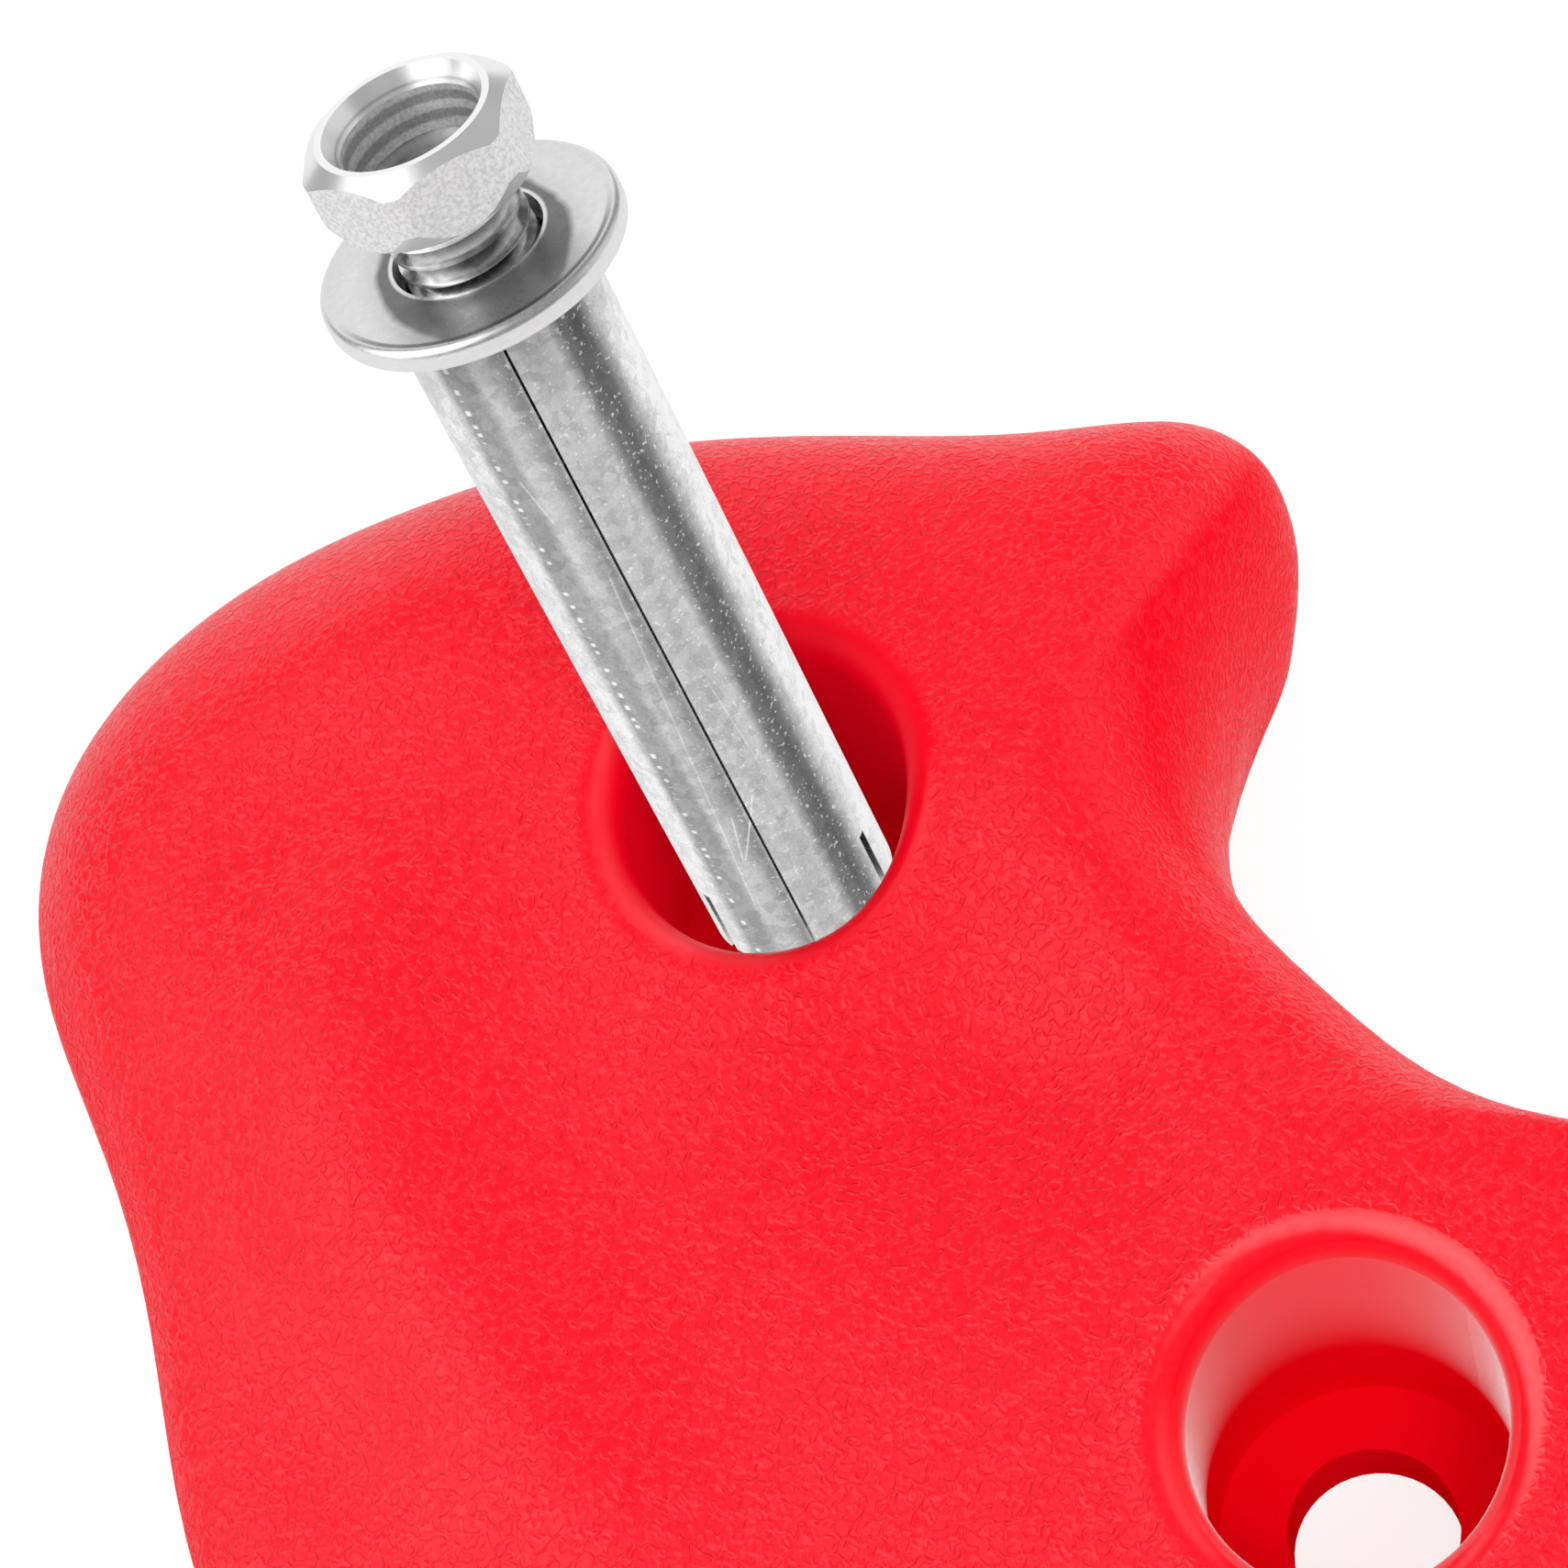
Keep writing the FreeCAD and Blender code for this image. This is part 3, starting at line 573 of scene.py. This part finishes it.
stud_steel, tree, shader = new_finish("rolled_stud_steel")
place, _, radius = anchor_place(tree)
marks = noise(tree, place, OIL_MARKS, detail=3.0)
# Painted shade: the thread is darker toward its root.
root_shade = fade(tree, radius, THREAD_ROOT, THREAD_CREST, ROOT_SHADE_TONE, 1.0)
grey = times(tree, fade(tree, marks, *NOISE_RANGE, *STUD_TONES), root_shade)
rough = fade(tree, marks, *NOISE_RANGE, *STUD_ROUGHNESS)
feed(tree, shader, Base_Color=grey_of(tree, grey), Roughness=rough)
shader.inputs["Metallic"].default_value = 1.0
dress("anchor_stud", stud_steel)

# %% [markdown]
# ## The floor
# The photograph's ground is pure white. The floor is a pale sheet that the
# hold's soft shadow falls on, with part of its brightness of its own for the
# camera and for reflections, so that it shows white under a plain light.
# Light Path tells what looks at it.

# %% Lay the floor
FLOOR_SIDE, FLOOR_DROP = 6, 0.0002
FLOOR_TONE, FLOOR_SEEN_TONE = 0.80, 0.28
FLOOR_SEEN_GLOW, FLOOR_MIRRORED_GLOW = 0.80, 0.95
WHITE = (1, 1, 1, 1)


def ray_kinds(tree):
    """Gives 1 for the camera or a look through glass, and 1 for a mirror."""
    path = tree.nodes.new("ShaderNodeLightPath")
    seen = math_node(tree, "MAXIMUM", path.outputs["Is Camera Ray"], path.outputs["Is Transmission Ray"])
    return seen, path.outputs["Is Glossy Ray"]


bpy.ops.object.select_all(action="DESELECT")
bpy.ops.mesh.primitive_plane_add(size=FLOOR_SIDE, location=(0, 0, -FLOOR_DROP))
floor = bpy.context.active_object
floor.name = "floor"
pale, tree, shader = new_finish("pale_floor")
seen, mirrored = ray_kinds(tree)
tone = times(tree, mixed(tree, seen, FLOOR_TONE, FLOOR_SEEN_TONE), minus(tree, 1.0, mirrored))
glow = plus(tree, times(tree, seen, FLOOR_SEEN_GLOW), times(tree, mirrored, FLOOR_MIRRORED_GLOW))
feed(tree, shader, Base_Color=grey_of(tree, tone), Emission_Strength=glow)
shader.inputs["Roughness"].default_value = 1.0
shader.inputs["Specular IOR Level"].default_value = 0.0
shader.inputs["Emission Color"].default_value = WHITE
floor.data.materials.append(pale)
print("floor", FLOOR_SIDE, "m wide,", FLOOR_DROP, "m under the hold")

# %% [markdown]
# ## The room
# The hold is lit as in a light tent: an even white for the matt part of a
# finish, so its colour shows as written. What a shiny face mirrors is less
# even: a wide bright sheet on the left, a lower one behind, a faint one on
# the right and a dim room between, which is what draws the relief of the
# face and the glints of the metal. The hold itself is left out of the
# mirrored room, because the photograph's steel shows no red.

# %% Put up the light tent
SHEETS = [
    ((-0.80, 0.15, 0.72), 0.70, 0.98, 2.60),
    ((0.25, 0.95, 0.20), 0.80, 0.95, 0.95),
    ((0.90, -0.20, 0.35), 0.80, 0.95, 0.50),
]
DIM_ROOM, TENT_LIGHT, SEEN_WHITE = 0.10, 0.70, 1.0

world = bpy.data.worlds.new("light_tent")
bpy.context.scene.world = world
world.use_nodes = True
tree = world.node_tree
tent = tree.nodes["Background"]
seen, mirrored = ray_kinds(tree)
toward = add_node(tree, "TexCoord", {}, output="Generated")
room = DIM_ROOM
for direction, edge, middle, strength in SHEETS:
    facing = along(tree, toward, Vector(direction).normalized())
    room = plus(tree, room, fade(tree, facing, edge, middle, 0.0, strength))
matt = mixed(tree, seen, TENT_LIGHT, SEEN_WHITE)
light = plus(tree, matt, times(tree, mirrored, minus(tree, room, matt)))
feed(tree, tent, Strength=light)
tent.inputs["Color"].default_value = WHITE
frame["nodes"]["hold_body"].visible_glossy = False
print(len(SHEETS), "bright sheets in the room")

# %% [markdown]
# ## The lamps
# Four weak square lamps give the hold a soft side and a faint shadow. They
# are large and near, as softboxes are, and mirrors don't show them, because
# the sheets of the room stand for them there.

# %% Hang the lamps
LAMP_AIM = Vector((0, 0, 0.01))
FRONT_LAMP_DISTANCE, FRONT_LAMP_SHIFT = 0.70, Vector((0.05, 0, 0.05))
LAMPS = [
    ("lamp_left", (-0.55, -0.25, 0.45), 0.45, 1.1),
    ("lamp_back", (0.25, 0.60, 0.50), 0.50, 0.9),
    ("lamp_front", FRONT_LAMP_DISTANCE * back + FRONT_LAMP_SHIFT, 0.30, 1.7),
    ("lamp_right", (0.60, -0.10, 0.30), 0.45, 0.8),
]

for name, lamp_place, side, watts in LAMPS:
    lamp = bpy.data.lights.new(name, "AREA")
    lamp.shape, lamp.size, lamp.energy = "SQUARE", side, watts
    held = bpy.data.objects.new(name, lamp)
    bpy.context.scene.collection.objects.link(held)
    held.location = lamp_place
    held.rotation_euler = (LAMP_AIM - Vector(lamp_place)).to_track_quat("-Z", "Y").to_euler()
    held.visible_glossy = False
    print(name, "at", [round(v, 2) for v in lamp_place], watts, "W")

# %% [markdown]
# The Standard view transform shows a colour as it is written.

# %% Finish
bpy.context.scene.view_settings.view_transform = "Standard"
